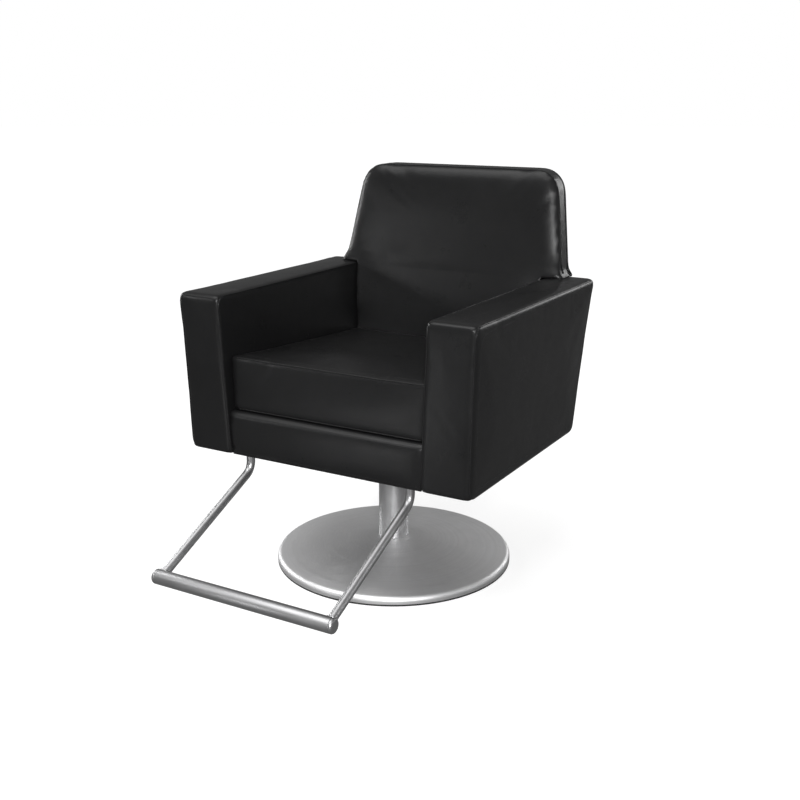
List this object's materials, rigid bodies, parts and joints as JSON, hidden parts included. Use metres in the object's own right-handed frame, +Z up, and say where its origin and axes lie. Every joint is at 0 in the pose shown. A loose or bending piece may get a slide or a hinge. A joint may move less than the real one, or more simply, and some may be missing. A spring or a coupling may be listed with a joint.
{
  "type": "styling chair",
  "caption": "Salon styling chair: box-armed upholstered seat with a leaning back and tubular footrest, on a swivelling foot-pumped column and round base.",
  "frame": {"origin": "on the floor under the column's axis, at the middle of the base plate's underside", "axes": "+Z up; the chair faces -Y at rest; +X is the sitter's left"},
  "size_m": [0.7152, 0.9579, 0.8949],
  "materials": {
    "vinyl": "satin",
    "satin_steel": "satin",
    "cast_iron": "matte",
    "painted_iron": "satin",
    "polished_steel": "polished",
    "zinc_steel": "satin",
    "bronze": "satin",
    "rubber": "matte",
    "plywood": "matte",
    "hardwood": "matte",
    "lining": "matte"
  },
  "bodies": {
    "base": {"base_plate": "cast_iron", "base_trim_ring": "rubber", "base_cover": "satin_steel", "pump_body": "painted_iron", "flange_bolt_1": "zinc_steel", "flange_bolt_2": "zinc_steel", "flange_bolt_3": "zinc_steel", "flange_bolt_4": "zinc_steel", "column_sleeve": "satin_steel", "guide_bush": "bronze", "wiper_seal": "rubber", "lever_bracket": "painted_iron", "lever_pin": "zinc_steel", "plunger_spring": "zinc_steel"},
    "ram": {"ram": "polished_steel", "ram_piston": "zinc_steel", "piston_seal": "rubber", "bearing_race_lower": "zinc_steel", "retaining_ring": "zinc_steel"},
    "bearing": {"bearing_cage": "zinc_steel"},
    "lever": {"pump_lever": "satin_steel", "pedal_pad": "rubber"},
    "plunger": {"pump_plunger": "polished_steel"},
    "seat": {"swivel_hub": "painted_iron", "bearing_race_upper": "zinc_steel", "mounting_plate": "painted_iron", "plate_bolt_1": "zinc_steel", "plate_bolt_2": "zinc_steel", "plate_bolt_3": "zinc_steel", "plate_bolt_4": "zinc_steel", "cross_rail_front": "hardwood", "cross_rail_rear": "hardwood", "seat_rail_left": "hardwood", "seat_rail_right": "hardwood", "seat_rail_front": "hardwood", "seat_rail_rear": "hardwood", "seat_board": "plywood", "underside_lining": "lining", "seat_cushion": "vinyl", "seat_apron": "vinyl", "arm_pad_left": "vinyl", "arm_pad_right": "vinyl", "arm_frame_left": "plywood", "arm_frame_right": "plywood", "arm_bolt_left_front": "zinc_steel", "arm_bolt_left_rear": "zinc_steel", "arm_bolt_right_front": "zinc_steel", "arm_bolt_right_rear": "zinc_steel", "back_pad": "vinyl", "back_board": "plywood", "back_rear_panel": "vinyl", "back_bolt_left": "zinc_steel", "back_bolt_right": "zinc_steel", "footrest_tube_left": "satin_steel", "footrest_tube_right": "satin_steel", "footrest_bolt_left": "zinc_steel", "footrest_bolt_right": "zinc_steel", "foot_bar": "satin_steel", "foot_bar_cap_left": "satin_steel", "foot_bar_cap_right": "satin_steel"}
  },
  "joints": [
    {"name": "seat_lift", "type": "slide", "parent": "base", "child": "ram", "axis": [0, 0, 1], "range_m": [0, 0.14]},
    {"name": "seat_swivel", "type": "hinge", "parent": "ram", "child": "seat", "pos_m": [0, 0, 0.28], "axis": [0, 0, 1], "continuous": true},
    {"name": "bearing_roll", "type": "hinge", "parent": "ram", "child": "bearing", "pos_m": [0, 0, 0.2757], "axis": [0, 0, 1], "continuous": true},
    {"name": "pump_pedal", "type": "hinge", "parent": "base", "child": "lever", "pos_m": [-0.03492, 0.05951, 0.096], "axis": [-0.8625, -0.506, 0], "range_deg": [0, 14], "stiffness_Nm_per_rad": 14, "springref_deg": -20.05},
    {"name": "plunger_stroke", "type": "slide", "parent": "base", "child": "plunger", "axis": [0.506, -0.8625, 0], "range_m": [0, 0.0071], "deforming": ["plunger_spring"]}
  ],
  "couplings": [
    {"joint": "bearing_roll", "follows": "seat_swivel", "ratio": 0.5},
    {"joint": "plunger_stroke", "follows": "pump_pedal", "m_per_rad": 0.028}
  ]
}
